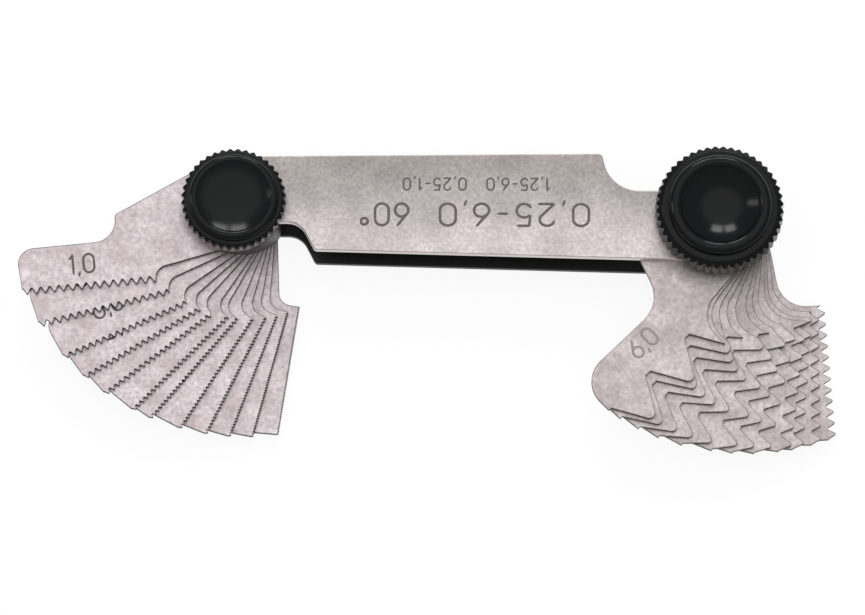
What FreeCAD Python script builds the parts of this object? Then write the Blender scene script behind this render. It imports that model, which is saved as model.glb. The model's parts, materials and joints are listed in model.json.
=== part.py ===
import FreeCAD, Part
import math
import os

import Sketcher

# Thread pitch gauge: 24 steel leaves, each cut with one metric thread pitch, turn on two
# pillars between two plates, and a thumbscrew at each end locks its fan of leaves.
#
# Frame, in millimetres: the origin is midway between the two pillars on the underside of
# the rear plate, +X runs along the plates to the coarse fan and +Z leaves the front plate.
# The plates lie flat, so the part rests on the rear plate. As modelled the fans are open.

# Driving sizes: name, value, meaning.
SIZES = [
    ("pillar_spacing", 53.3, "distance between the two pillars along X"),
    ("pillar_offset", 0.6, "fine pillar above the X axis, coarse pillar below it"),
    ("plate_thickness", 0.75, "each plate"),
    ("plate_edge_round", 0.15, "rounded rim of each plate's outer face"),
    ("plate_corner_round", 0.5, "the plate's two outer corners, seen from the front"),
    ("lobe_radius", 5.3, "round ends of the plates, about the pillars"),
    ("top_corner_y", 6.34, "corner where the top edge ends, above the X axis"),
    ("top_notch_y", 2.11, "floor of the notch beside the coarse pillar, above the X axis"),
    ("top_notch_length", 6.5, "that notch, from the lobe to the foot of its steep side"),
    ("top_notch_lean", 1.0, "how far that side leans, from its foot to the corner"),
    ("top_notch_round", 3.9, "hollow between the notch's side and its floor"),
    ("low_corner_y", 4.8, "corner where the bottom edge ends, below the X axis"),
    ("low_notch_y", 1.65, "floor of the notch beside the fine pillar, below the X axis"),
    ("low_notch_length", 2.0, "that notch, from the lobe to the foot of its side"),
    ("low_notch_lean", 1.6, "how far that side leans, from its foot to the corner"),
    ("low_notch_round", 2.3, "hollow between that side and floor"),
    ("leaf_thickness", 0.38, "every leaf"),
    ("leaf_gap", 0.02, "free play beside each leaf"),
    ("leaf_boss_radius", 5.5, "round head of a leaf about its pillar"),
    ("pillar_radius", 2.5, "the part of the pillar that the leaves turn on"),
    ("pillar_spigot_radius", 2.0, "stepped-down ends of the pillar in the two plates"),
    ("pillar_spigot_height", 0.55, "how far the upper spigot enters the front plate"),
    ("pillar_play", 0.1, "top of the pillar's body below the front plate"),
    ("rivet_flare", 0.4, "flared foot of the pillar in the rear plate's countersink"),
    ("running_clearance", 0.05, "radial, wherever one piece turns on another"),
    ("screw_radius", 1.45, "plain shank that stands for the thumbscrew's thread"),
    ("screw_length", 5.5, "shank below the knob"),
    ("screw_tip_chamfer", 0.3, "lead at the end of the shank"),
    ("screw_head_radius", 2.6, "disc that is moulded into the knob"),
    ("screw_head_height", 0.6, "the same disc"),
    ("washer_thickness", 0.5, "plain washer under each knob"),
    ("washer_clearance", 0.15, "radial, around the shank"),
    ("thread_angle", 60.0, "metric thread, between the flanks"),
    ("crest_cut", 0.125, "share of the sharp thread height that is missing at the crest"),
    ("root_cut", 0.125, "and at the root"),
    ("groove_overshoot", 1.0, "how far the tooth cutter stands clear of the crests"),
    ("knurl_depth", 0.38, "V grooves around each knob"),
]

# Sizes that each fan has of its own: name, fine fan, coarse fan, meaning. In the sheet the
# fan's name stands in front. A leaf's blank lies flat, with the pillar at 0,0, the tip
# towards +x and the toothed edge towards +y. A knob stands on its underside.
FAN_SIZES = [
    ("neck_inset", 0.8, 0.05, "neck's toothed side, inside the round head's top"),
    ("hook_x", 9.3, 9.7, "face of the hook, where the toothed edge starts"),
    ("hook_foot_y", 6.45, 6.5, "where the neck's edge meets that face"),
    ("hook_round", 1.4, 3.2, "hollow between them"),
    ("crest_y", 7.95, 11.2, "line of the tooth crests on the front leaf"),
    ("crest_step", 0.07, 0.0, "how much wider each leaf is than the one in front"),
    ("tip_short", 2.65, 2.55, "front leaf's toothed edge ends this far from mid-gauge when folded"),
    ("tip_step", 0.0, 0.08, "how much longer each leaf is than the one in front"),
    ("back_short", 2.25, 2.55, "front leaf's back edge ends this far from mid-gauge when folded"),
    ("back_y", 2.8, 2.7, "straight back edge of the arm"),
    ("tip_round", 1.8, 3.2, "back corner of the tip"),
    ("step_x", 13.25, 11.5, "foot of the step from the arm's back to the shoulder"),
    ("step_round", 2.4, 3.9, "hollow at that foot"),
    ("shoulder_x", 13.25, 9.6, "corner of the shoulder"),
    ("shoulder_y", 0.1, 2.8, "the same corner, on the back's side of the pillar"),
    ("shoulder_round", 0.6, 0.6, "rounding of that corner"),
    ("shoulder_angle", 66.0, 69.0, "where the shoulder's straight edge leaves the round head"),
    ("knob_radius", 5.8, 7.05, "over the knurl"),
    ("knurl_height", 0.8, 2.2, "straight knurled wall"),
    ("knurl_slope", 0.4, 0.6, "height of the slope above it"),
    ("slope_width", 0.5, 0.75, "from the knurl in to the ledge"),
    ("ledge_width", 0.35, 0.65, "ledge between the slope and the raised bead"),
    ("bead_wall", 0.25, 0.6, "height of the bead's outer wall"),
    ("bead_width", 0.98, 1.35, "from that wall in to the rim of the dished top"),
    ("bead_rise", 0.25, 0.17, "dish's rim above the top of the bead's wall"),
    ("bead_crown", 0.277, 0.379, "how far the bead bulges over the line between those two"),
    ("dish_depth", 0.75, 1.4, "middle of the dish below its rim"),
    ("washer_radius", 4.2, 5.2, "washer under the knob"),
]

# side is the pillar's sign along X. Leaves run from the front one to the rear one: pitch,
# then the direction of the toothed edge from hook to tip, in degrees about +Z from +X.
FANS = {
    "fine": {
        "side": -1,
        "knurl_grooves": 40,
        "round_crests": False,
        "leaves": [
            (1.0, 186.0),
            (0.9, 195.0),
            (0.8, 205.0),
            (0.75, 212.0),
            (0.7, 218.3),
            (0.6, 226.0),
            (0.5, 230.5),
            (0.45, 238.0),
            (0.4, 244.3),
            (0.35, 249.9),
            (0.3, 255.3),
            (0.25, 261.4),
        ],
    },
    "coarse": {
        "side": 1,
        "knurl_grooves": 48,
        "round_crests": True,
        "leaves": [
            (6.0, 224.3),
            (5.5, 227.0),
            (5.0, 231.4),
            (4.5, 236.0),
            (4.0, 241.3),
            (3.5, 248.0),
            (3.0, 252.5),
            (2.5, 257.0),
            (2.0, 262.3),
            (1.75, 265.5),
            (1.5, 270.0),
            (1.25, 274.0),
        ],
    },
}

doc = FreeCAD.newDocument("thread_pitch_gauge")
sheet = doc.addObject("Spreadsheet::Sheet", "Sizes")
sheet_rows = []
nodes = []

# Two lengths closer than this are the same length.
SAME_LENGTH = 1e-6
# A rounding takes at most these shares of the wall that it runs out on.
CORNER_SHARE = 0.9
NOTCH_SHARE = 0.95
STEP_SHARE = 0.83


# ---------------------------------------------------------------- sheet and naming

def add_size(alias, value, meaning):
    row = len(sheet_rows) + 1
    sheet_rows.append(alias)
    sheet.set(f"A{row}", meaning)
    sheet.set(f"B{row}", str(value))
    sheet.setAlias(f"B{row}", alias)


def size(alias):
    return float(sheet.get(alias))


def pitch_name(pitch):
    return f"{pitch:.2f}".replace(".", "_")


def fill_sheet():
    for alias, value, meaning in SIZES:
        add_size(alias, value, meaning)
    for alias, fine_value, coarse_value, meaning in FAN_SIZES:
        add_size(f"fine_{alias}", fine_value, meaning)
        add_size(f"coarse_{alias}", coarse_value, meaning)
    for data in FANS.values():
        for pitch, swing in data["leaves"]:
            add_size(f"pitch_{pitch_name(pitch)}", pitch, "thread pitch of this leaf")
            add_size(f"swing_{pitch_name(pitch)}", swing, "direction of this leaf")
    doc.recompute()


# ---------------------------------------------------------------- sketches and bodies

def new_body(label):
    body = doc.addObject("PartDesign::Body", label)
    body.Label = label
    nodes.append(body)
    return body


def new_sketch(body, role):
    sketch = body.newObject("Sketcher::SketchObject", f"{body.Name}_sketch")
    plane = next(item for item in body.Origin.OriginFeatures if item.Role == role)
    sketch.AttachmentSupport = [(plane, "")]
    sketch.MapMode = "FlatFace"
    return sketch


def bound(sketch, constraint, formula):
    index = sketch.addConstraint(constraint)
    sketch.setExpression(f"Constraints[{index}]", formula)


def arc_middle(start, end, radius):
    # A positive radius bulges to the left of the way from start to end.
    chord = end - start
    half = chord.Length / 2
    rise = abs(radius) - math.sqrt(radius**2 - half**2)
    left = FreeCAD.Vector(-chord.y, chord.x, 0).normalize()
    return (start + end) * 0.5 + left * math.copysign(rise, radius)


def outline(body, role, corners, arcs=None):
    """Closed outline through corners given as pairs of formulas. arcs names the sides,
    counted from their first corner, that are arcs, each with its radius as a formula and
    +1 or -1 for the side it bulges to."""
    arcs = arcs or {}
    sketch = new_sketch(body, role)
    places = [[float(sketch.evalExpression(formula)) for formula in corner] for corner in corners]
    points = [FreeCAD.Vector(x, y, 0) for x, y in places]
    count = len(points)
    ends = []
    for side, start in enumerate(points):
        end = points[(side + 1) % count]
        if side in arcs:
            formula, hand = arcs[side]
            radius = float(sketch.evalExpression(formula))
            curve = Part.Arc(start, arc_middle(start, end, hand * radius), end)
        else:
            curve = Part.LineSegment(start, end)
        sketch.addGeometry(curve, False)
        # An arc always runs anticlockwise, so its ends may be the other way round.
        forward = sketch.getPoint(side, 1).distanceToPoint(start) < SAME_LENGTH
        ends.append((1, 2) if forward else (2, 1))
    for side in range(count):
        after = (side + 1) % count
        sketch.addConstraint(Sketcher.Constraint("Coincident", side, ends[side][1], after, ends[after][0]))
    for side, (x_formula, y_formula) in enumerate(corners):
        first = ends[side][0]
        x, y = places[side]
        bound(sketch, Sketcher.Constraint("DistanceX", -1, 1, side, first, x), x_formula)
        bound(sketch, Sketcher.Constraint("DistanceY", -1, 1, side, first, y), y_formula)
    for side, (formula, _) in arcs.items():
        bound(sketch, Sketcher.Constraint("Radius", side, float(sketch.evalExpression(formula))), formula)
    return sketch


def circle(body, formula, x_formula="0", y_formula="0"):
    sketch = new_sketch(body, "XY_Plane")
    x = float(sketch.evalExpression(x_formula))
    y = float(sketch.evalExpression(y_formula))
    radius = float(sketch.evalExpression(formula))
    sketch.addGeometry(Part.Circle(FreeCAD.Vector(x, y, 0), FreeCAD.Vector(0, 0, 1), radius), False)
    bound(sketch, Sketcher.Constraint("DistanceX", -1, 1, 0, 3, x), x_formula)
    bound(sketch, Sketcher.Constraint("DistanceY", -1, 1, 0, 3, y), y_formula)
    bound(sketch, Sketcher.Constraint("Radius", 0, radius), formula)
    return sketch


def pad(body, sketch, formula):
    feature = body.newObject("PartDesign::Pad", f"{body.Name}_pad")
    feature.Profile = sketch
    feature.Refine = True
    feature.setExpression("Length", formula)
    doc.recompute()
    return feature


def pocket_through(body, sketch):
    before = body.Shape.Volume
    feature = body.newObject("PartDesign::Pocket", f"{body.Name}_pocket")
    feature.Profile = sketch
    feature.Type = "ThroughAll"
    feature.Midplane = True
    doc.recompute()
    if feature.Shape.Volume >= before:
        raise RuntimeError(f"{body.Label}: the pocket cuts nothing")
    return feature


def revolve(body, sketch):
    feature = body.newObject("PartDesign::Revolution", f"{body.Name}_turned")
    feature.Profile = sketch
    feature.ReferenceAxis = (sketch, ["V_Axis"])
    feature.Angle = 360
    doc.recompute()
    return feature


def upright_edge(shape, x, y):
    """Name of the straight edge along Z that stands nearest to x, y."""
    nearest = None
    for index, edge in enumerate(shape.Edges, start=1):
        if len(edge.Vertexes) < 2:
            continue
        start, end = (vertex.Point for vertex in edge.Vertexes)
        if math.hypot(end.x - start.x, end.y - start.y) > SAME_LENGTH:
            continue
        distance = math.hypot(start.x - x, start.y - y)
        if nearest is None or distance < nearest[0]:
            nearest = (distance, f"Edge{index}")
    return nearest[1]


def round_corner(body, x_formula, y_formula, radius_formula):
    tip = body.Tip
    x = float(body.evalExpression(x_formula))
    y = float(body.evalExpression(y_formula))
    feature = body.newObject("PartDesign::Fillet", f"{body.Name}_round")
    feature.Base = (tip, [upright_edge(tip.Shape, x, y)])
    feature.setExpression("Radius", radius_formula)
    doc.recompute()


def limited(radius, share, wall):
    return f"min({radius}; {share} * ({wall}))"


def place(body, x_formula, y_formula, z_formula, angle_formula="0"):
    body.setExpression("Placement.Base.x", x_formula)
    body.setExpression("Placement.Base.y", y_formula)
    body.setExpression("Placement.Base.z", z_formula)
    body.setExpression("Placement.Rotation.Angle", f"({angle_formula}) * 1 deg")


# ---------------------------------------------------------------- shared places

LEAF_COUNT = len(FANS["fine"]["leaves"])
HALF_SPACING = "Sizes.pillar_spacing / 2"
LAYER = "(Sizes.leaf_thickness + Sizes.leaf_gap)"
GAP = f"({LEAF_COUNT} * {LAYER} + Sizes.leaf_gap)"
STACK_TOP = f"(2 * Sizes.plate_thickness + {GAP})"
KNOB_SEAT = f"({STACK_TOP} + Sizes.washer_thickness)"
BORE = "(Sizes.screw_radius + Sizes.running_clearance)"


def pillar_place(side):
    return f"{side} * {HALF_SPACING}", f"{-side} * Sizes.pillar_offset"


# ---------------------------------------------------------------- plates

def make_plate(label, hole_formula, base_formula):
    body = new_body(label)
    top_foot = f"({HALF_SPACING} - Sizes.lobe_radius - Sizes.top_notch_length)"
    low_foot = f"({HALF_SPACING} - Sizes.lobe_radius - Sizes.low_notch_length)"
    web = [
        (f"-{HALF_SPACING}", "Sizes.pillar_offset + Sizes.lobe_radius"),
        (f"{top_foot} - Sizes.top_notch_lean", "Sizes.top_corner_y"),
        (top_foot, "Sizes.top_notch_y"),
        (HALF_SPACING, "Sizes.top_notch_y"),
        (HALF_SPACING, "-Sizes.pillar_offset - Sizes.lobe_radius"),
        (f"Sizes.low_notch_lean - {low_foot}", "-Sizes.low_corner_y"),
        (f"-{low_foot}", "-Sizes.low_notch_y"),
        (f"-{HALF_SPACING}", "-Sizes.low_notch_y"),
    ]
    pad(body, outline(body, "XY_Plane", web), "Sizes.plate_thickness")
    for side in (-1, 1):
        pad(body, circle(body, "Sizes.lobe_radius", *pillar_place(side)), "Sizes.plate_thickness")
    for corner, radius in (
        (web[1], "Sizes.plate_corner_round"),
        (web[2], limited("Sizes.top_notch_round", NOTCH_SHARE, "Sizes.top_corner_y - Sizes.top_notch_y")),
        (web[5], "Sizes.plate_corner_round"),
        (web[6], limited("Sizes.low_notch_round", NOTCH_SHARE, "Sizes.low_corner_y - Sizes.low_notch_y")),
    ):
        round_corner(body, *corner, radius)
    for side in (-1, 1):
        pocket_through(body, circle(body, hole_formula, *pillar_place(side)))
    place(body, "0", "0", base_formula)
    return body


def flat_face_at(shape, height):
    for face in shape.Faces:
        if face.BoundBox.ZLength < SAME_LENGTH and abs(face.CenterOfMass.z - height) < SAME_LENGTH:
            return face
    raise RuntimeError("no flat face at that height")


def rim_edges(shape, height):
    """Names of the outer edges of the flat face at this height."""
    rim = flat_face_at(shape, height).OuterWire.Edges
    return [f"Edge{i}" for i, edge in enumerate(shape.Edges, start=1) if any(edge.isSame(e) for e in rim)]


def round_plate_rim(body, height):
    tip = body.Tip
    feature = body.newObject("PartDesign::Fillet", f"{body.Name}_rim")
    feature.Base = (tip, rim_edges(tip.Shape, height))
    feature.setExpression("Radius", "Sizes.plate_edge_round")
    doc.recompute()


def countersink_rear(body):
    tip = body.Tip
    rims = [
        f"Edge{index}"
        for index, edge in enumerate(tip.Shape.Edges, start=1)
        if edge.BoundBox.ZMax < SAME_LENGTH
        and edge.isClosed()
        and abs(edge.Curve.Radius - size("pillar_spigot_radius")) < SAME_LENGTH
    ]
    feature = body.newObject("PartDesign::Chamfer", f"{body.Name}_countersink")
    feature.Base = (tip, rims)
    feature.setExpression("Size", "Sizes.rivet_flare")
    doc.recompute()


def make_plates():
    rear = make_plate("rear_plate", "Sizes.pillar_spigot_radius", "0")
    round_plate_rim(rear, 0)
    countersink_rear(rear)
    front = make_plate(
        "front_plate",
        "Sizes.pillar_spigot_radius + Sizes.running_clearance",
        f"Sizes.plate_thickness + {GAP}",
    )
    round_plate_rim(front, size("plate_thickness"))


# ---------------------------------------------------------------- leaves

def leaf_edge(fan, layer):
    """Line of the crests and end of the toothed edge, which grow from leaf to leaf."""
    crest = f"(Sizes.{fan}_crest_y + {layer} * Sizes.{fan}_crest_step)"
    tip = f"({HALF_SPACING} - Sizes.{fan}_tip_short + {layer} * Sizes.{fan}_tip_step)"
    return crest, tip


def groove_outline(body, crest, middle, pitch, round_crests):
    """One tooth gap, centred on the end of the toothed edge."""
    sharp = f"({pitch} / 2 / tan(Sizes.thread_angle / 2))"
    crest_round = f"(Sizes.crest_cut * {sharp} / (1 / sin(Sizes.thread_angle / 2) - 1))"
    crest_flat = f"(Sizes.crest_cut * {pitch} / 2)"
    root_half = f"(Sizes.root_cut * {pitch} / 2)"
    root = f"{crest} - (1 - Sizes.crest_cut - Sizes.root_cut) * {sharp}"
    clear = f"{crest} + Sizes.groove_overshoot"
    if not round_crests:
        mouth = f"({pitch} / 2 - {crest_flat})"
        return outline(body, "XY_Plane", [
            (f"{middle} - {root_half}", root),
            (f"{middle} + {root_half}", root),
            (f"{middle} + {mouth}", crest),
            (f"{middle} + {mouth}", clear),
            (f"{middle} - {mouth}", clear),
            (f"{middle} - {mouth}", crest),
        ])
    # The rounding meets the flank where its radius stands square to the flank.
    inward = f"({pitch} / 2 - {crest_round} * cos(Sizes.thread_angle / 2))"
    flank_top = f"{crest} - {crest_round} * (1 - sin(Sizes.thread_angle / 2))"
    corners = [
        (f"{middle} - {root_half}", root),
        (f"{middle} + {root_half}", root),
        (f"{middle} + {inward}", flank_top),
        (f"{middle} + {pitch} / 2", crest),
        (f"{middle} + {pitch} / 2", clear),
        (f"{middle} - {pitch} / 2", clear),
        (f"{middle} - {pitch} / 2", crest),
        (f"{middle} - {inward}", flank_top),
    ]
    return outline(body, "XY_Plane", corners, {2: (crest_round, 1), 6: (crest_round, 1)})


def cut_teeth(body, fan, crest, tip, pitch, round_crests):
    """Repeats the gap from the tip to the hook, one pitch apart."""
    alias = f"Sizes.pitch_{pitch_name(pitch)}"
    sketch = groove_outline(body, crest, tip, alias, round_crests)
    gap = pocket_through(body, sketch)
    edge_length = float(body.evalExpression(f"{tip} - Sizes.{fan}_hook_x"))
    count = math.floor(edge_length / size(f"pitch_{pitch_name(pitch)}")) + 2
    teeth = body.newObject("PartDesign::LinearPattern", f"{body.Name}_teeth")
    teeth.Originals = [gap]
    teeth.Direction = (sketch, ["H_Axis"])
    teeth.Reversed = True
    teeth.Occurrences = count
    teeth.setExpression("Length", f"{count - 1} * {alias}")
    body.Tip = teeth
    doc.recompute()


def make_leaf(fan, data, layer, pitch):
    body = new_body(f"leaf_{pitch_name(pitch)}")
    own = f"Sizes.{fan}_"
    crest, tip = leaf_edge(fan, layer)
    boss_x = f"Sizes.leaf_boss_radius * cos({own}shoulder_angle)"
    boss_y = f"-Sizes.leaf_boss_radius * sin({own}shoulder_angle)"
    arm = [
        ("0", f"Sizes.leaf_boss_radius - {own}neck_inset"),
        (f"{own}hook_x", f"{own}hook_foot_y"),
        (f"{own}hook_x", crest),
        (tip, crest),
        (f"{HALF_SPACING} - {own}back_short + {layer} * {own}tip_step", f"{own}back_y"),
        (f"{own}step_x", f"{own}back_y"),
        (f"{own}shoulder_x", f"-{own}shoulder_y"),
        (boss_x, boss_y),
    ]
    pad(body, outline(body, "XY_Plane", arm), "Sizes.leaf_thickness")
    pad(body, circle(body, "Sizes.leaf_boss_radius"), "Sizes.leaf_thickness")
    round_corner(body, *arm[1], limited(f"{own}hook_round", CORNER_SHARE, f"{crest} - {own}hook_foot_y"))
    round_corner(body, *arm[4], limited(f"{own}tip_round", CORNER_SHARE, f"{crest} - {own}back_y"))
    round_corner(body, *arm[5], limited(f"{own}step_round", STEP_SHARE, f"{own}back_y + {own}shoulder_y"))
    round_corner(body, *arm[6], f"{own}shoulder_round")
    pocket_through(body, circle(body, "Sizes.pillar_radius + Sizes.running_clearance"))
    cut_teeth(body, fan, crest, tip, pitch, data["round_crests"])
    base = f"Sizes.plate_thickness + Sizes.leaf_gap + {LEAF_COUNT - 1 - layer} * {LAYER}"
    place(body, *pillar_place(data["side"]), base, f"Sizes.swing_{pitch_name(pitch)}")


def make_leaves():
    for fan, data in FANS.items():
        for layer, (pitch, _) in enumerate(data["leaves"]):
            make_leaf(fan, data, layer, pitch)


# ---------------------------------------------------------------- pillars, washers, thumbscrews

def make_pillar(fan, data):
    body = new_body(f"{fan}_pillar")
    body_top = f"Sizes.plate_thickness + {GAP} - Sizes.pillar_play"
    spigot_top = f"Sizes.plate_thickness + {GAP} + Sizes.pillar_spigot_height"
    profile = [
        (BORE, "0"),
        ("Sizes.pillar_spigot_radius + Sizes.rivet_flare", "0"),
        ("Sizes.pillar_spigot_radius", "Sizes.rivet_flare"),
        ("Sizes.pillar_spigot_radius", "Sizes.plate_thickness"),
        ("Sizes.pillar_radius", "Sizes.plate_thickness"),
        ("Sizes.pillar_radius", body_top),
        ("Sizes.pillar_spigot_radius", body_top),
        ("Sizes.pillar_spigot_radius", spigot_top),
        (BORE, spigot_top),
    ]
    revolve(body, outline(body, "XZ_Plane", profile))
    place(body, *pillar_place(data["side"]), "0")


def make_washer(fan, data):
    body = new_body(f"{fan}_washer")
    inner = "Sizes.screw_radius + Sizes.washer_clearance"
    outer = f"Sizes.{fan}_washer_radius"
    profile = [(inner, "0"), (outer, "0"), (outer, "Sizes.washer_thickness"), (inner, "Sizes.washer_thickness")]
    revolve(body, outline(body, "XZ_Plane", profile))
    place(body, *pillar_place(data["side"]), STACK_TOP)


def make_screw(fan, data):
    body = new_body(f"{fan}_screw")
    profile = [
        ("0", "-Sizes.screw_length"),
        ("Sizes.screw_radius - Sizes.screw_tip_chamfer", "-Sizes.screw_length"),
        ("Sizes.screw_radius", "-Sizes.screw_length + Sizes.screw_tip_chamfer"),
        ("Sizes.screw_radius", "0"),
        ("Sizes.screw_head_radius", "0"),
        ("Sizes.screw_head_radius", "Sizes.screw_head_height"),
        ("0", "Sizes.screw_head_height"),
    ]
    revolve(body, outline(body, "XZ_Plane", profile))
    place(body, *pillar_place(data["side"]), KNOB_SEAT)


def make_knob(fan, data):
    body = new_body(f"{fan}_knob")
    own = f"Sizes.{fan}_"
    ledge = f"({own}knurl_height + {own}knurl_slope)"
    ledge_radius = f"({own}knob_radius - {own}slope_width)"
    bead_radius = f"({ledge_radius} - {own}ledge_width)"
    dish_radius = f"({bead_radius} - {own}bead_width)"
    dish_rim = f"({ledge} + {own}bead_wall + {own}bead_rise)"
    profile = [
        ("0", "Sizes.screw_head_height"),
        ("Sizes.screw_head_radius", "Sizes.screw_head_height"),
        ("Sizes.screw_head_radius", "0"),
        (f"{own}knob_radius", "0"),
        (f"{own}knob_radius", f"{own}knurl_height"),
        (ledge_radius, ledge),
        (bead_radius, ledge),
        (bead_radius, f"{ledge} + {own}bead_wall"),
        (dish_radius, dish_rim),
        ("0", f"{dish_rim} - {own}dish_depth"),
    ]
    # An arc's radius follows from its half chord and its rise over the chord.
    bead_half = f"(({own}bead_width ^ 2 + {own}bead_rise ^ 2) ^ 0.5 / 2)"
    bead_curve = f"(({bead_half} ^ 2 + {own}bead_crown ^ 2) / (2 * {own}bead_crown))"
    dish_curve = f"(({dish_radius} ^ 2 + {own}dish_depth ^ 2) / (2 * {own}dish_depth))"
    arcs = {7: (bead_curve, -1), 8: (dish_curve, 1)}
    revolve(body, outline(body, "XZ_Plane", profile, arcs))
    cut_knurl(body, fan, data["knurl_grooves"])
    place(body, *pillar_place(data["side"]), KNOB_SEAT)


def cut_knurl(body, fan, count):
    """V grooves side by side around the knob, through its knurled wall."""
    rim = f"Sizes.{fan}_knob_radius"
    half_mouth = f"({rim} * sin(180 / {count}))"
    corners = [
        (f"{rim} - Sizes.knurl_depth", "0"),
        (f"{rim} + Sizes.knurl_depth", f"-2 * {half_mouth}"),
        (f"{rim} + Sizes.knurl_depth", f"2 * {half_mouth}"),
    ]
    groove = pocket_through(body, outline(body, "XY_Plane", corners))
    knurl = body.newObject("PartDesign::PolarPattern", f"{body.Name}_knurl")
    knurl.Originals = [groove]
    knurl.Axis = (groove.Profile[0], ["N_Axis"])
    knurl.Angle = 360
    knurl.Occurrences = count
    body.Tip = knurl
    doc.recompute()


def make_locks():
    for fan, data in FANS.items():
        make_pillar(fan, data)
        make_washer(fan, data)
        make_screw(fan, data)
        make_knob(fan, data)


# ---------------------------------------------------------------- build, test and write

def check_document():
    for item in doc.Objects:
        if "Invalid" in item.State or "Error" in item.State:
            raise RuntimeError(f"{item.Label} did not build: {item.State}")
    for body in nodes:
        if body.Shape.isNull() or not body.Shape.isValid() or len(body.Shape.Solids) != 1:
            raise RuntimeError(f"{body.Label} is not one valid solid")


def write_parts():
    os.makedirs("parts", exist_ok=True)
    for body in nodes:
        body.Shape.exportStep(f"parts/{body.Label}.step")


fill_sheet()
make_plates()
make_leaves()
make_locks()
doc.recompute()
check_document()
write_parts()
for body in nodes:
    box = body.Shape.BoundBox
    print(f"{body.Label}: {body.Shape.Volume:.2f} mm3, z {box.ZMin:.2f} to {box.ZMax:.2f}")
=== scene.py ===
import json
import math

import bpy
import numpy as np
from mathutils import Matrix, Vector


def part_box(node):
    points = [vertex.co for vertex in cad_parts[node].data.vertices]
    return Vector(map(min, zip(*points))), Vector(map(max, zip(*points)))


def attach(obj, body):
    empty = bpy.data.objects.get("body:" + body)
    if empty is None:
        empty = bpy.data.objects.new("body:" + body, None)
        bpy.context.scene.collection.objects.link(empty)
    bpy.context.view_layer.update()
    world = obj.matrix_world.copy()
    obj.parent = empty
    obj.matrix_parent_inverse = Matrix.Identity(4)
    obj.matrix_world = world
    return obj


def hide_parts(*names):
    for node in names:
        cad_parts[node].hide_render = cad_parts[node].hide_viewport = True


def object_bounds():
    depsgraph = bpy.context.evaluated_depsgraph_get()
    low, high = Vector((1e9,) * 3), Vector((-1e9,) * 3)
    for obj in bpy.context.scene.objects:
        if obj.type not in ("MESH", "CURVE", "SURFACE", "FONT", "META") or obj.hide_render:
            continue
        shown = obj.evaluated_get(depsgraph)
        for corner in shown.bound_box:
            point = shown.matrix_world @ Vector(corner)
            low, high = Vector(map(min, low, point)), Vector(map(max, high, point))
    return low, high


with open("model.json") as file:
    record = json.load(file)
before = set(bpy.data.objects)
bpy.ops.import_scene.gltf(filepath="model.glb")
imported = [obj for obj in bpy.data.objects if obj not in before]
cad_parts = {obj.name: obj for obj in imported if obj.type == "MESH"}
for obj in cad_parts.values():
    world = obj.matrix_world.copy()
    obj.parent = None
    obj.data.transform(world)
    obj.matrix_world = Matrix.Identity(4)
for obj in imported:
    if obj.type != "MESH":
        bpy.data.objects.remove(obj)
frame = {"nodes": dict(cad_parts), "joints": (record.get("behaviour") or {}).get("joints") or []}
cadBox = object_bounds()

# Looks of a metric thread pitch gauge: nickel-plated side plates, spring steel leaves,
# black moulded thumbscrews and the numbers marked on the steel.
# Everything is in metres in the frame's own axes. Sizes written in mm end in Mm.

mm = 0.001


def linear(hexColour):
    # sRGB to linear light: a straight part near black, a power of 2.4 above it
    channels = [int(hexColour[i:i + 2], 16) / 255 for i in (1, 3, 5)]
    return [c / 12.92 if c <= 0.04045 else ((c + 0.055) / 1.055) ** 2.4 for c in channels] + [1.0]


def addNode(tree, kind, settings=None, links=None):
    # settings go to the node's own properties or to its unlinked inputs, links to its inputs
    node = tree.nodes.new(kind)
    for name, value in (settings or {}).items():
        if isinstance(name, int) or name in node.inputs:
            node.inputs[name].default_value = value
        else:
            setattr(node, name, value)
    for name, socket in (links or {}).items():
        tree.links.new(socket, node.inputs[name])
    return node


def perMetre(featureMm):
    # noise scale that gives features of this size on Object coordinates in metres
    return 1 / (featureMm * mm)


def newMaterial(name):
    material = bpy.data.materials.new(name)
    material.use_nodes = True
    material.node_tree.nodes.clear()
    return material, material.node_tree


def finishMaterial(tree, shader):
    addNode(tree, "ShaderNodeOutputMaterial", links={"Surface": shader.outputs[0]})


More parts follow.
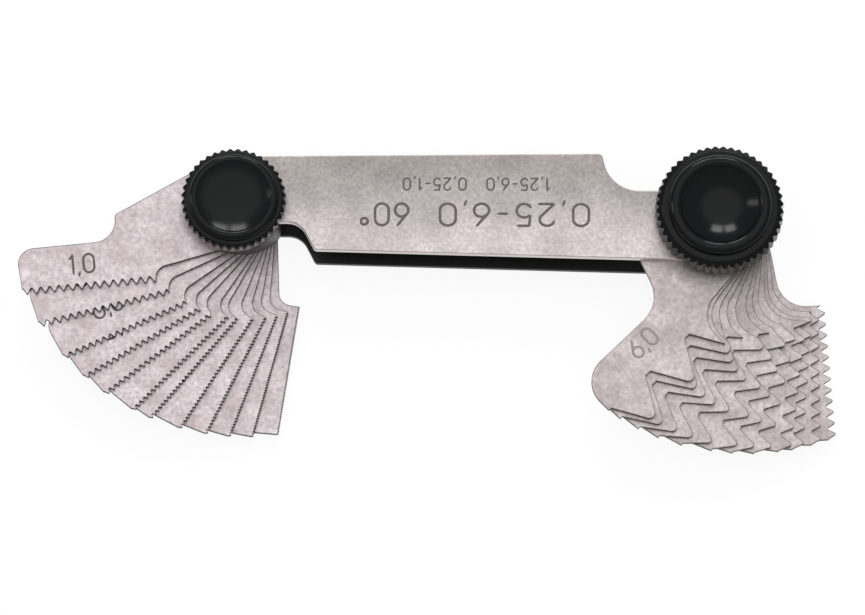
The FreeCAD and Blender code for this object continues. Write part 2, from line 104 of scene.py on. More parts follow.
def steelSheet(name, look):
    # steel sheet for the leaves and the plates: a fine mottle of grains over broad cloudy patches,
    # cut edges in another tone, and painted shade beside the edges, on the inner faces and towards the upper
    # edge
    material, tree = newMaterial(name)
    place = addNode(tree, "ShaderNodeTexCoord")
    # sheets lie a few tenths of a mm apart, so height counts more and each gets its own clouds
    spread = addNode(tree, "ShaderNodeMapping", {"Scale": (1, 1, look["layerSpread"])},
                     {"Vector": place.outputs["Object"]})
    grain = addNode(tree, "ShaderNodeTexNoise",
                    {"Scale": perMetre(look["grainMm"]), "Detail": 3.0, "Roughness": 0.65},
                    {"Vector": spread.outputs[0]})
    cloud = addNode(tree, "ShaderNodeTexNoise",
                    {"Scale": perMetre(look["cloudMm"]), "Detail": 3.0, "Roughness": 0.55},
                    {"Vector": spread.outputs[0]})
    clouded = addNode(tree, "ShaderNodeMapRange", {"From Min": 0.35, "From Max": 0.65},
                      {"Value": cloud.outputs["Fac"]})
    speckled = addNode(tree, "ShaderNodeMapRange", {"From Min": 0.3, "From Max": 0.7},
                       {"Value": grain.outputs["Fac"]})
    patches = addNode(tree, "ShaderNodeMix",
                      {"data_type": "RGBA", 6: linear(look["light"]), 7: linear(look["patch"])},
                      {0: clouded.outputs[0]})
    amount = addNode(tree, "ShaderNodeMath", {"operation": "MULTIPLY", 1: look["speckle"]},
                     {0: speckled.outputs[0]})
    face = addNode(tree, "ShaderNodeMix", {"data_type": "RGBA", 7: linear(look["speck"])},
                   {0: amount.outputs[0], 6: patches.outputs[2]})
    colour = face.outputs[2]
    if "paintedShadeTint" in look:
        parts = addNode(tree, "ShaderNodeSeparateXYZ", links={0: place.outputs["Object"]})
        # painted shade: the colour darkens towards the upper edge
        low, high = look["paintedShadeFromTo"]
        paintedShadeRamp = addNode(tree, "ShaderNodeMapRange",
                         {"interpolation_type": "SMOOTHSTEP", "From Min": low * mm, "From Max": high * mm},
                         {"Value": parts.outputs["Y"]})
        paintedShadeMix = addNode(tree, "ShaderNodeMix",
                         {"data_type": "RGBA", "blend_type": "MULTIPLY", 7: linear(look["paintedShadeTint"])},
                         {0: paintedShadeRamp.outputs[0], 6: colour})
        colour = paintedShadeMix.outputs[2]
    # 1 on the flat faces and 0 on the sheared edges, from the surface's own direction
    facing = addNode(tree, "ShaderNodeSeparateXYZ", links={0: place.outputs["Normal"]})
    flatness = addNode(tree, "ShaderNodeMath", {"operation": "ABSOLUTE"}, {0: facing.outputs["Z"]})
    onFace = addNode(tree, "ShaderNodeMapRange", {"From Min": 0.45, "From Max": 0.9},
                     {"Value": flatness.outputs[0]})
    rounded = addNode(tree, "ShaderNodeBevel", {"samples": 6, "Radius": look["edgeRoundMm"] * mm})
    # a rounded normal leans away from the true one beside an edge, which draws a painted shade line there,
    # standing in for the shadow between stacked sheets
    leaning = addNode(tree, "ShaderNodeBevel", {"samples": 8, "Radius": look["shadeLineWidthMm"] * mm})
    straight = addNode(tree, "ShaderNodeNewGeometry")
    lean = addNode(tree, "ShaderNodeVectorMath", {"operation": "DOT_PRODUCT"},
                   {0: leaning.outputs[0], 1: straight.outputs["Normal"]})
    rim = addNode(tree, "ShaderNodeMapRange",
                  {"From Min": 0.995, "From Max": 0.9, "To Max": look["paintedShadeLine"]},
                  {"Value": lean.outputs["Value"]})
    # painted shade: the line beside each edge takes the dark inside colour
    withShadeLine = addNode(tree, "ShaderNodeMix", {"data_type": "RGBA", 7: linear(look["inside"])},
                    {0: rim.outputs[0], 6: colour})
    # the sheared edges take the edge tone; on the leaves and the rear plate it is darkened beyond the cut
    # steel's own tone as painted shade
    edged = addNode(tree, "ShaderNodeMix", {"data_type": "RGBA", 6: linear(look["edge"])},
                    {0: onFace.outputs[0], 7: withShadeLine.outputs[2]})
    if "paintedShadeFacing" in look:
        # painted shade: the side that faces the leaves is painted dark, where shade falls between the plates
        inward = addNode(tree, "ShaderNodeMath", {"operation": "MULTIPLY", 1: look["paintedShadeFacing"]},
                         {0: facing.outputs["Z"]})
        hidden = addNode(tree, "ShaderNodeMapRange", {"From Min": 0.5, "From Max": 0.9},
                         {"Value": inward.outputs[0]})
        edged = addNode(tree, "ShaderNodeMix", {"data_type": "RGBA", 7: linear(look["inside"])},
                        {0: hidden.outputs[0], 6: edged.outputs[2]})
    rough = addNode(tree, "ShaderNodeMapRange",
                    {"To Min": look["roughness"][0], "To Max": look["roughness"][1]},
                    {"Value": grain.outputs["Fac"]})
    bumped = addNode(tree, "ShaderNodeBump",
                     {"Strength": look["bump"], "Distance": look["bumpDepthMm"] * mm},
                     {"Height": grain.outputs["Fac"], "Normal": rounded.outputs[0]})
    shader = addNode(tree, "ShaderNodeBsdfPrincipled", {"Metallic": look["metallic"]},
                     {"Base Color": edged.outputs[2], "Roughness": rough.outputs[0],
                      "Normal": bumped.outputs[0]})
    finishMaterial(tree, shader)
    return material


# Ground spring steel: pale and slightly pink, with a fine mottle, dark edges that are partly painted shade, and
# a painted shade line beside them.
# The sizes of the mottle and of its clouds are estimates.
leafLook = {
    "light": "#E2D7DA", "patch": "#C6BABD", "speck": "#8D8487", "speckle": 0.6,
    "edge": "#474142", "inside": "#2A2627",
    "grainMm": 0.45, "cloudMm": 3.2, "layerSpread": 8.0,
    "roughness": (0.37, 0.49), "metallic": 0.9,
    "edgeRoundMm": 0.05, "shadeLineWidthMm": 0.2, "paintedShadeLine": 1.0,
    "bump": 0.3, "bumpDepthMm": 0.02,
}
# Nickel-plated steel sheet: greyer and smoother than the leaves, with bright cut edges on the front
# plate, painted shade on the inner faces and painted shade towards the upper edge. Its mottle is an estimate
# too.
plateLook = {
    "light": "#DDD4D3", "patch": "#C2BAB9", "speck": "#8E8785", "speckle": 0.55,
    "edge": "#D9D1CF", "inside": "#4C4A4A",
    "grainMm": 0.4, "cloudMm": 5.0, "layerSpread": 1.0,
    "roughness": (0.33, 0.45), "metallic": 0.95,
    "edgeRoundMm": 0.07, "shadeLineWidthMm": 0.1, "paintedShadeLine": 0.0,
    "bump": 0.25, "bumpDepthMm": 0.02,
    "paintedShadeTint": "#CDCDCB", "paintedShadeFromTo": (-5.5, 5.0),
}


knobLook = {
    "deep": "#030405", "dusty": "#0A0C0F", "dustMm": 0.25, "rippleMm": 1.6, "rippleDepthMm": 0.03,
    "rippleStrength": 0.15, "roughness": (0.11, 0.2), "ior": 1.5, "specular": 0.19,
}


def knobPlastic():
    # black phenolic moulding: a deep gloss with faint flow ripples and a little dust in the surface
    material, tree = newMaterial("blackPhenolicMoulding")
    place = addNode(tree, "ShaderNodeTexCoord")
    ripple = addNode(tree, "ShaderNodeTexNoise", {"Scale": perMetre(knobLook["rippleMm"]), "Detail": 2.0},
                     {"Vector": place.outputs["Object"]})
    dust = addNode(tree, "ShaderNodeTexNoise",
                   {"Scale": perMetre(knobLook["dustMm"]), "Detail": 4.0, "Roughness": 0.7},
                   {"Vector": place.outputs["Object"]})
    tone = addNode(tree, "ShaderNodeMix",
                   {"data_type": "RGBA", 6: linear(knobLook["deep"]), 7: linear(knobLook["dusty"])},
                   {0: dust.outputs["Fac"]})
    low, high = knobLook["roughness"]
    rough = addNode(tree, "ShaderNodeMapRange", {"To Min": low, "To Max": high},
                    {"Value": dust.outputs["Fac"]})
    bumped = addNode(tree, "ShaderNodeBump",
                     {"Strength": knobLook["rippleStrength"], "Distance": knobLook["rippleDepthMm"] * mm},
                     {"Height": ripple.outputs["Fac"]})
    shader = addNode(tree, "ShaderNodeBsdfPrincipled",
                     {"IOR": knobLook["ior"], "Specular IOR Level": knobLook["specular"]},
                     {"Base Color": tone.outputs[2], "Roughness": rough.outputs[0],
                      "Normal": bumped.outputs[0]})
    finishMaterial(tree, shader)
    return material


turnedLook = {"light": "#B9B6B2", "dark": "#9A9794", "grainMm": 0.2, "roughness": (0.26, 0.4)}


def turnedSteel():
    # free-cutting steel off the lathe: a bright grey with a fine, slightly uneven grain
    material, tree = newMaterial("turnedBrightSteel")
    place = addNode(tree, "ShaderNodeTexCoord")
    grain = addNode(tree, "ShaderNodeTexNoise", {"Scale": perMetre(turnedLook["grainMm"]), "Detail": 3.0},
                    {"Vector": place.outputs["Object"]})
    tone = addNode(tree, "ShaderNodeMix",
                   {"data_type": "RGBA", 6: linear(turnedLook["light"]), 7: linear(turnedLook["dark"])},
                   {0: grain.outputs["Fac"]})
    low, high = turnedLook["roughness"]
    rough = addNode(tree, "ShaderNodeMapRange", {"To Min": low, "To Max": high},
                    {"Value": grain.outputs["Fac"]})
    shader = addNode(tree, "ShaderNodeBsdfPrincipled", {"Metallic": 1.0},
                     {"Base Color": tone.outputs[2], "Roughness": rough.outputs[0]})
    finishMaterial(tree, shader)
    return material


inkLook = {"wearMm": 0.35, "metallic": 0.3, "roughness": 0.6}


def markInk(name, dark, pale):
    # a marked stroke: a dull dark oxide, thinner in places
    material, tree = newMaterial(name)
    place = addNode(tree, "ShaderNodeTexCoord")
    worn = addNode(tree, "ShaderNodeTexNoise",
                   {"Scale": perMetre(inkLook["wearMm"]), "Detail": 3.0, "Roughness": 0.7},
                   {"Vector": place.outputs["Object"]})
    tone = addNode(tree, "ShaderNodeMix", {"data_type": "RGBA", 6: linear(dark), 7: linear(pale)},
                   {0: worn.outputs["Fac"]})
    shader = addNode(tree, "ShaderNodeBsdfPrincipled",
                     {"Metallic": inkLook["metallic"], "Roughness": inkLook["roughness"]},
                     {"Base Color": tone.outputs[2]})
    finishMaterial(tree, shader)
    return material


fineLeafSteel = steelSheet("groundSpringSteelFine", leafLook)
# the coarse leaves: a little greyer and warmer, with a fainter painted shade line beside their edges
coarseLeafSteel = steelSheet("groundSpringSteelCoarse", {
    **leafLook, "light": "#D8CFCD", "patch": "#BAB0AE", "paintedShadeLine": 0.7, "edge": "#3E3938"})
# the sign given with each plate is the way that its inner face looks along Z; that face is painted dark as
# shade
frontNickel = steelSheet("nickelPlatedFrontSheet", {**plateLook, "paintedShadeFacing": -1.0})
# the rear plate's cut edges are painted near black as shade
rearNickel = steelSheet("nickelPlatedRearSheet", {**plateLook, "paintedShadeFacing": 1.0, "edge": "#242223"})
plastic = knobPlastic()
turned = turnedSteel()
fineMarkInk = markInk("etchedOxideDark", "#3A3537", "#7B7375")
coarseMarkInk = markInk("etchedOxidePale", "#857C7A", "#ADA4A1")
plateMarkInk = markInk("stampedOxide", "#3F3A38", "#7F7875")
print("materials made")


def dress(node, material):
    piece = frame["nodes"][node]
    piece.data.materials.clear()
    piece.data.materials.append(material)


for node in frame["nodes"]:
    if node.startswith("leaf_"):
        dress(node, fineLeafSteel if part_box(node)[0].x < 0 else coarseLeafSteel)
    elif node.endswith(("_pillar", "_washer", "_screw")):
        dress(node, turned)
dress("front_plate", frontNickel)
dress("rear_plate", rearNickel)
print("frame dressed")


def closedSurfaces(name, surfaces, material, smooth):
    # surfaces: (rings, pole, pole), with rings a grid of points by ring and place around it.
    # Each ring joins the next by four-sided faces and a pole closes each end by triangles.
    points, faces, shades, start = [], [], [], 0
    for rings, firstPole, lastPole in surfaces:
        ringCount, around = rings.shape[:2]
        points += [rings.reshape(-1, 3), [firstPole], [lastPole]]
        index = start + np.arange(ringCount * around).reshape(ringCount, around)
        following = np.roll(index, -1, axis=1)
        quads = np.stack([index[:-1], following[:-1], following[1:], index[1:]], axis=-1)
        firstEnd = np.full(around, start + ringCount * around)
        faces += quads.reshape(-1, 4).tolist()
        faces += np.stack([following[0], index[0], firstEnd], axis=-1).tolist()
        faces += np.stack([index[-1], following[-1], firstEnd + 1], axis=-1).tolist()
        shades += [smooth(rings).reshape(-1), np.ones(2 * around, bool)]
        start += ringCount * around + 2
    mesh = bpy.data.meshes.new(name)
    mesh.from_pydata(np.concatenate(points).tolist(), [], faces)
    mesh.polygons.foreach_set("use_smooth", np.concatenate(shades))
    mesh.materials.append(material)
    mesh.update()
    piece = bpy.data.objects.new(name, mesh)
    bpy.context.scene.collection.objects.link(piece)
    return piece


knobs = {
    "fine_knob": {
        "grooves": 40, "grooveDepthMm": 0.38, "wallMm": 0.8, "slopeMm": 0.4, "slopeWidthMm": 0.5,
        "ledgeMm": 0.35, "beadWallMm": 0.25, "beadWidthMm": 0.98, "beadRiseMm": 0.25,
        "beadCrownMm": 0.277, "dishDepthMm": 0.75, "discRadiusMm": 2.6, "discHeightMm": 0.6,
        "cornerMm": 0.08,
    },
    "coarse_knob": {
        "grooves": 48, "grooveDepthMm": 0.38, "wallMm": 2.2, "slopeMm": 0.6, "slopeWidthMm": 0.75,
        "ledgeMm": 0.65, "beadWallMm": 0.6, "beadWidthMm": 1.35, "beadRiseMm": 0.17,
        "beadCrownMm": 0.379, "dishDepthMm": 1.4, "discRadiusMm": 2.6, "discHeightMm": 0.6,
        "cornerMm": 0.1,
    },
}


knurlSteps = 8  # points round the knob for each groove
beadSteps, dishSteps = 19, 40
fullTurn = 2 * math.pi


def arcThrough(start, end, rise, steps):
    # arc over the chord from start to end, bulging to the left of the way by rise:
    # centre on the chord's bisector, radius from half the chord squared and the rise
    start, end = np.array(start), np.array(end)
    chord = end - start
    half = np.hypot(*chord) / 2
    left = np.array([-chord[1], chord[0]]) / (2 * half)
    radius = (half ** 2 + rise ** 2) / (2 * rise)
    centre = (start + end) / 2 - left * (radius - rise)
    sweep = np.arcsin(half / abs(radius)) * np.linspace(-1, 1, steps)
    along = chord / (2 * half)
    side = np.sign(radius)
    return centre + abs(radius) * (np.outer(np.sin(sweep), along) + side * np.outer(np.cos(sweep), left))


def softCorner(before, corner, after, reach, steps=5):
    # quadratic curve that starts reach before the corner and ends reach after it
    corner = np.array(corner, float)
    first = corner + (np.array(before) - corner) * reach / np.hypot(*(np.array(before) - corner))
    last = corner + (np.array(after) - corner) * reach / np.hypot(*(np.array(after) - corner))
    t = np.linspace(0, 1, steps)[:, None]
    return (1 - t) ** 2 * first + 2 * t * (1 - t) * corner + t ** 2 * last


def knobProfile(knob, rim):
    # half section from the recess over the disc, out to the knurled rim and up to the dish's middle
    ledge = knob["wallMm"] + knob["slopeMm"]
    ledgeEdge = rim - knob["slopeWidthMm"]
    beadEdge = ledgeEdge - knob["ledgeMm"]
    dishEdge = beadEdge - knob["beadWidthMm"]
    beadTop = ledge + knob["beadWallMm"]
    dishTop = beadTop + knob["beadRiseMm"]
    soft = knob["cornerMm"]
    disc, discTop = knob["discRadiusMm"], knob["discHeightMm"]
    bead = arcThrough((beadEdge, beadTop), (dishEdge, dishTop), -knob["beadCrownMm"], beadSteps)
    dish = arcThrough((dishEdge, dishTop), (-dishEdge, dishTop), knob["dishDepthMm"],
                      2 * dishSteps + 1)
    wallSteps = np.linspace(soft, knob["wallMm"] - soft, 5)
    slopeSteps = np.linspace(0.15, 0.85, 8)[:, None]
    rimTop, ledgeFoot = np.array([rim, knob["wallMm"]]), np.array([ledgeEdge, ledge])
    return np.concatenate([
        [(disc / 2, discTop)], [(disc, discTop)], [(disc, 0.0)],
        softCorner((0, 0), (rim, 0), (rim, 9), soft),
        np.stack([np.full(5, rim), wallSteps], axis=1)[1:-1],
        softCorner((rim, 0), rimTop, ledgeFoot, soft),
        rimTop + (ledgeFoot - rimTop) * slopeSteps,
        softCorner(rimTop, ledgeFoot, (beadEdge, ledge), soft),
        softCorner(ledgeFoot, (beadEdge, ledge), (beadEdge, beadTop), soft),
        bead[:-1], dish[:dishSteps],
    ])


def knurlRadius(knob, rim, angle):
    # V grooves side by side: each flank is a straight line from the groove's root at rim less
    # depth to its mouth, so the radius is where a ray at this angle meets that line
    pitch = fullTurn / knob["grooves"]
    fromRoot = np.abs((angle + pitch / 2) % pitch - pitch / 2)
    depth = knob["grooveDepthMm"]
    mouth = rim * math.sin(pitch / 2)
    share = (rim - depth) * np.tan(fromRoot) / (mouth - depth * np.tan(fromRoot))
    x = rim - depth + depth * share
    return np.minimum(np.hypot(x, mouth * share), rim * math.cos(pitch / 2 / knurlSteps))


def buildKnob(node):
    knob = knobs[node]
    low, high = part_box(node)
    centre = (low + high) / 2
    rim = (high.x - low.x) / 2 / mm
    profile = knobProfile(knob, rim)
    around = knob["grooves"] * knurlSteps
    angle = np.arange(around) * fullTurn / around
    radius = np.minimum(profile[:, :1], knurlRadius(knob, rim, angle)[None, :])
    height = np.repeat(profile[:, 1:], len(angle), axis=1)
    rings = np.stack([centre.x + radius * np.cos(angle) * mm, centre.y + radius * np.sin(angle) * mm,
                      low.z + height * mm], axis=-1)
    inner = (centre.x, centre.y, low.z + knob["discHeightMm"] * mm)
    lastStepMm = 0.0005  # how far the dish still falls from its last ring to its middle
    dishFloor = (centre.x, centre.y, low.z + (profile[-1, 1] - lastStepMm) * mm)

    def smooth(grid):
        # the knurled wall keeps its hard crests, the rest is smooth
        inside = profile[:-1, 0] < rim - knob["grooveDepthMm"]
        return np.repeat(inside[:, None], grid.shape[1], axis=1)

    piece = closedSurfaces(f"{node}_moulding", [(rings, inner, dishFloor)], plastic, smooth)
    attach(piece, node)
    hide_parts(node)


for node in knobs:
    buildKnob(node)
print("knobs made")


# The numbers are single strokes, as an engraver cuts them.
# Each glyph is its width and its strokes, in a cell 1 high. A stroke is a chain of lines
# (x, y, x, y) and arcs (centre x, y, radius x, y, from and to angle).
glyphs = {
    "0": (0.66, [[(0.33, 0.7, 0.3, 0.3, 0, 180), (0.33, 0.3, 0.3, 0.3, 180, 360), (0.63, 0.3, 0.63, 0.7)]]),
    "1": (0.3, [[(0.02, 0.8, 0.2, 1.0), (0.2, 1.0, 0.2, 0.0)]]),
    "2": (0.62, [[(0.31, 0.72, 0.28, 0.28, 165, -35), (0.54, 0.56, 0.03, 0.0), (0.03, 0.0, 0.62, 0.0)]]),
    "3": (0.6, [[(0.3, 0.76, 0.25, 0.24, 155, -90), (0.3, 0.27, 0.28, 0.27, 90, -155)]]),
    "4": (0.66, [[(0.5, 0.0, 0.5, 1.0), (0.5, 1.0, 0.03, 0.27), (0.03, 0.27, 0.66, 0.27)]]),
    "5": (0.62, [[(0.56, 1.0, 0.12, 1.0), (0.12, 1.0, 0.08, 0.54), (0.31, 0.31, 0.29, 0.31, 130, -150)]]),
    "6": (0.62, [[(0.5, 1.0, 0.07, 0.44), (0.32, 0.3, 0.29, 0.3, 150, 510)]]),
    "7": (0.6, [[(0.02, 1.0, 0.58, 1.0), (0.58, 1.0, 0.2, 0.0)]]),
    "8": (0.62, [[(0.31, 0.76, 0.23, 0.24, -90, 270), (0.31, 0.27, 0.29, 0.27, 90, 450)]]),
    "9": (0.62, [[(0.12, 0.0, 0.55, 0.56), (0.3, 0.7, 0.29, 0.3, -30, 330)]]),
    ",": (0.16, [[(0.1, 0.05, 0.04, -0.13)]]),
    "-": (0.5, [[(0.08, 0.45, 0.42, 0.45)]]),
    "°": (0.4, [[(0.2, 0.82, 0.15, 0.15, 0, 360)]]),
    " ": (0.5, []),
}


arcStepDegrees = 12


def chainPoints(chain):
    # lines by their ends, arcs by a point every arcStepDegrees or so
    points = []
    for part in chain:
        if len(part) == 4:
            points.append(np.array([part[:2], part[2:]], float))
        else:
            x, y, radiusX, radiusY, first, last = part
            turn = np.radians(np.linspace(first, last, 2 + int(abs(last - first) / arcStepDegrees)))
            points.append(np.stack([x + radiusX * np.cos(turn), y + radiusY * np.sin(turn)], axis=1))
    return np.concatenate(points)


def evenly(path, step):
    # the same path by points one step apart along its length, with points that coincide left out
    lengths = np.hypot(*np.diff(path, axis=0).T)
    apart = lengths > 1e-6
    path, lengths = path[np.append(True, apart)], lengths[apart]
    along = np.append(0, np.cumsum(lengths))
    even = np.linspace(0, along[-1], max(5, int(along[-1] / step)))
    return np.stack([np.interp(even, along, path[:, k]) for k in (0, 1)], axis=1), even


strokeSides = 8


def strokeSurface(path, width, relief):
    # a flat lens carried along the path: half a width to each side and relief up and down.
    # It narrows to round ends, as the square root of one less the missing share squared.
    path, along = evenly(path, width / 3)
    halfWidth = width / 2
    heading = np.gradient(path, axis=0)
    heading /= np.hypot(*heading.T)[:, None]
    left = np.stack([-heading[:, 1], heading[:, 0]], axis=1)
    fromEnd = np.minimum(along, along[-1] - along)
    share = np.clip(fromEnd / halfWidth, 0.04, 1)
    narrowing = np.sqrt(1 - (1 - share) ** 2)
    # the first and last points reach half a width further
    reach = (along == along[-1]).astype(float) - (along == 0)
    path = path + heading * halfWidth * reach[:, None]
    turn = np.arange(strokeSides) * fullTurn / strokeSides
    aside = halfWidth * narrowing[:, None] * np.cos(turn)
    up = relief * narrowing[:, None] * np.sin(turn)
    rings = np.stack([path[:, :1] + aside * left[:, :1], path[:, 1:] + aside * left[:, 1:], up], axis=-1)
    return rings, [*path[0], 0.0], [*path[-1], 0.0]


def markText(name, text, style, material, placeOnSteel):
    # text centred on its own middle, then turned and moved onto the steel by a matrix
    heightMm, gapMm, squeeze = style["heightMm"], style["gapMm"], style["squeeze"]
    widths = [glyphs[letter][0] * heightMm * squeeze for letter in text]
    total = sum(widths) + gapMm * (len(text) - 1)
    cursor, surfaces = -total / 2, []
    turnAndMove = np.array(placeOnSteel)

    def ontoSteel(points):
        points = np.asarray(points) * mm
        return points @ turnAndMove[:3, :3].T + turnAndMove[:3, 3]

    for letter, width in zip(text, widths):
        for chain in glyphs[letter][1]:
            path = chainPoints(chain) * [heightMm * squeeze, heightMm] + [cursor, -heightMm / 2]
            stroke = strokeSurface(path, style["strokeMm"], marks["reliefMm"])
            surfaces.append([ontoSteel(points) for points in stroke])
        cursor += width + gapMm

    def smooth(grid):
        return np.ones((len(grid) - 1, grid.shape[1]), bool)

    return closedSurfaces(name, surfaces, material, smooth)


marks = {
    "reliefMm": 0.007,  # stays inside the play between two leaves
    "fine": {"place": (17.3, 4.7), "heightMm": 2.1, "strokeMm": 0.26, "gapMm": 0.3, "squeeze": 0.92,
             "lowLimitDegrees": 180},
    # these stand a little off the common place
    "moved": {"leaf_1_00": (-0.05, 0.4), "leaf_0_90": (0.0, -1.0), "leaf_0_80": (0.1, -0.25),
              "leaf_0_70": (0.2, -0.4), "leaf_0_60": (-0.1, -0.5)},
    "coarse": {"place": (16.1, 4.45), "heightMm": 2.05, "strokeMm": 0.26, "gapMm": 0.3, "squeeze": 0.95,
               "lowLimitDegrees": 154},
    "plate": [
        {"name": "range", "text": "0,25-6,0", "centre": (4.2, -0.73), "heightMm": 2.5, "strokeMm": 0.3,
         "gapMm": 0.72, "squeeze": 1.15},
        {"name": "angle", "text": "60°", "centre": (-10.1, -0.73), "heightMm": 2.5, "strokeMm": 0.3,
         "gapMm": 0.6, "squeeze": 1.0},
        {"name": "fans", "text": "1,25-6,0  0,25-1,0", "centre": (0.0, 2.76), "heightMm": 1.35, "strokeMm": 0.2,
         "gapMm": 0.32, "squeeze": 0.95},
    ],
}


def pitchText(node):
    # leaf_0_75 reads 0,75 and leaf_6_00 reads 6,0
    whole, decimals = node.split("_")[1:]
    return f"{whole},{decimals[0]}{decimals[1].strip('0')}"


for joint in frame["joints"]:
    node = joint["child"]
    if not node.startswith("leaf_"):
        continue
    fan, ink = ("fine", fineMarkInk) if joint["pos_m"][0] < 0 else ("coarse", coarseMarkInk)
    mark = marks[fan]
    # lowLimitDegrees is the way the leaf points at its joint's lower limit
    swing = math.radians(mark["lowLimitDegrees"] - joint["range_deg"][0])
    moved = marks["moved"].get(node, (0, 0))
    onLeaf = Vector((mark["place"][0] + moved[0], mark["place"][1] + moved[1], 0)) * mm
    pivot = Vector((joint["pos_m"][0], joint["pos_m"][1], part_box(node)[1].z))
    # the numbers read from the tip inwards, with their feet on the toothed side
    place = Matrix.Translation(pivot) @ Matrix.Rotation(swing, 4, "Z") @ Matrix.Translation(onLeaf)
    place = place @ Matrix.Rotation(math.pi, 4, "Z")
    number = markText(f"number_{node}", pitchText(node), mark, ink, place)
    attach(number, node)

for row in marks["plate"]:
    x, y = row["centre"]
    onTop = Matrix.Translation((x * mm, y * mm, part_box("front_plate")[1].z))
    place = onTop @ Matrix.Rotation(math.pi, 4, "Z")
    numbers = markText(f"plate_{row['name']}_numbers", row["text"], row, plateMarkInk, place)
    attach(numbers, "case")
print("numbers marked")


studio = {
    "floorSizeM": 6.0, "floorColour": "#FAFAFA",
    "floorGlow": 0.88, "floorLight": 1.02, "ceiling": 1.3, "walls": 0.62, "horizon": 0.32,
    "ceilingLean": 15.0, "ceilingInside": 27.0, "ceilingOutside": 39.0,
}
view = {
    "elevation": 74.84, "rollDegrees": 0.2, "distanceMm": 600.0, "widthMm": 96.1111,
    "aimRightMm": -4.77, "aimUpMm": -9.28, "sensorMm": 36.0, "clipFromToM": (0.05, 20.0),
}


def makeFloor():
    half = studio["floorSizeM"] / 2
    mesh = bpy.data.meshes.new("floor")
    corners = [(-half, -half, 0), (half, -half, 0), (half, half, 0), (-half, half, 0)]
    mesh.from_pydata(corners, [], [(0, 1, 2, 3)])
    floor = bpy.data.objects.new("floor", mesh)
    floor.location.z = cadBox[0].z
    bpy.context.scene.collection.objects.link(floor)
    material, tree = newMaterial("paleCard")
    card = addNode(tree, "ShaderNodeBsdfDiffuse", {"Color": linear(studio["floorColour"])})
    glow = addNode(tree, "ShaderNodeEmission", {"Color": (1, 1, 1, 1), "Strength": studio["floorLight"]})
    path = addNode(tree, "ShaderNodeLightPath")
    seen = addNode(tree, "ShaderNodeMath", {"operation": "MAXIMUM"},
                   {0: path.outputs["Is Camera Ray"], 1: path.outputs["Is Glossy Ray"]})
    seenAll = addNode(tree, "ShaderNodeMath", {"operation": "MAXIMUM"},
                      {0: seen.outputs[0], 1: path.outputs["Is Transmission Ray"]})
    share = addNode(tree, "ShaderNodeMath", {"operation": "MULTIPLY", 1: studio["floorGlow"]},
                    {0: seenAll.outputs[0]})
    # the glow gives a white ground, and what is left of the card still takes the shadow
    mixed = addNode(tree, "ShaderNodeMixShader",
                    links={0: share.outputs[0], 1: card.outputs[0], 2: glow.outputs[0]})
    finishMaterial(tree, mixed)
    mesh.materials.append(material)


def makeSky():
    # soft grey room: brightest overhead, darker towards the horizon
    world = bpy.data.worlds.new("room")
    bpy.context.scene.world = world
    world.use_nodes = True
    tree = world.node_tree
    tree.nodes.clear()
    place = addNode(tree, "ShaderNodeTexCoord")
    parts = addNode(tree, "ShaderNodeSeparateXYZ", links={0: place.outputs["Generated"]})
    walls = addNode(tree, "ShaderNodeMapRange",
                    {"From Max": 0.7, "To Min": studio["horizon"], "To Max": studio["walls"]},
                    {"Value": parts.outputs["Z"]})
    # the bright ceiling panel is a soft-edged disc round a direction that leans back from straight up
    lean = math.radians(studio["ceilingLean"])
    toCeiling = addNode(tree, "ShaderNodeVectorMath",
                        {"operation": "DOT_PRODUCT", 1: (0, math.sin(lean), math.cos(lean))},
                        {0: place.outputs["Generated"]})
    panel = addNode(tree, "ShaderNodeMapRange",
                    {"interpolation_type": "SMOOTHSTEP",
                     "From Min": math.cos(math.radians(studio["ceilingOutside"])),
                     "From Max": math.cos(math.radians(studio["ceilingInside"])),
                     "To Max": studio["ceiling"] - studio["walls"]}, {"Value": toCeiling.outputs["Value"]})
    level = addNode(tree, "ShaderNodeMath", {"operation": "ADD"}, {0: walls.outputs[0], 1: panel.outputs[0]})
    light = addNode(tree, "ShaderNodeBackground", {"Color": (1, 1, 1, 1)}, {"Strength": level.outputs[0]})
    addNode(tree, "ShaderNodeOutputWorld", links={"Surface": light.outputs[0]})


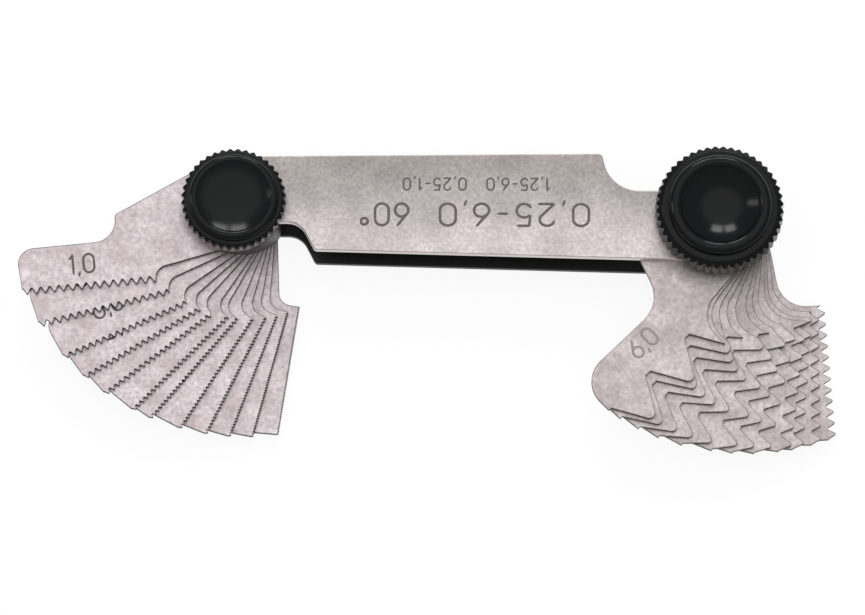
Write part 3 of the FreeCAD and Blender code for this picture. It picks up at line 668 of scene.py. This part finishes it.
windowDistanceM = 1.0
windows = [
    {"name": "windowLeftPane", "azimuth": -10.5, "elevation": 33.0, "sizeM": (0.25, 0.24), "watts": 1.6},
    {"name": "windowRightPane", "azimuth": 10.5, "elevation": 33.0, "sizeM": (0.25, 0.24), "watts": 1.6},
    {"name": "sideWindow", "azimuth": -75.0, "elevation": 35.0, "sizeM": (0.15, 0.35), "watts": 0.6},
]


def makeWindows():
    # azimuth is from +Y towards +X, so 0 is behind the gauge and -75 is on its left
    for window in windows:
        turn, rise = math.radians(window["azimuth"]), math.radians(window["elevation"])
        away = Vector((math.sin(turn) * math.cos(rise), math.cos(turn) * math.cos(rise), math.sin(rise)))
        lamp = bpy.data.lights.new(window["name"], "AREA")
        lamp.shape = "RECTANGLE"
        lamp.size, lamp.size_y = window["sizeM"]
        lamp.energy = window["watts"]
        holder = bpy.data.objects.new(window["name"], lamp)
        holder.location = away * windowDistanceM
        holder.rotation_euler = away.to_track_quat("Z", "Y").to_euler()
        bpy.context.scene.collection.objects.link(holder)


def makeCamera():
    # looks at a plane widthMm across at distanceMm, from this far above the plates
    tilt = math.radians(view["elevation"])
    right, up = Vector((1, 0, 0)), Vector((0, math.sin(tilt), math.cos(tilt)))
    back = Vector((0, -math.cos(tilt), math.sin(tilt)))
    lens = bpy.data.cameras.new("camera")
    lens.sensor_width = view["sensorMm"]
    lens.lens = view["sensorMm"] * view["distanceMm"] / view["widthMm"]
    lens.clip_start, lens.clip_end = view["clipFromToM"]
    camera = bpy.data.objects.new("camera", lens)
    aim = right * view["aimRightMm"] + up * view["aimUpMm"]
    camera.location = (aim + back * view["distanceMm"]) * mm
    roll = Matrix.Rotation(math.radians(view["rollDegrees"]), 3, "Z")
    camera.rotation_euler = (Matrix((right, up, back)).transposed() @ roll).to_euler()
    bpy.context.scene.collection.objects.link(camera)
    bpy.context.scene.camera = camera


makeFloor()
makeSky()
makeWindows()
makeCamera()
bpy.context.scene.view_settings.view_transform = "Standard"
print("studio ready")
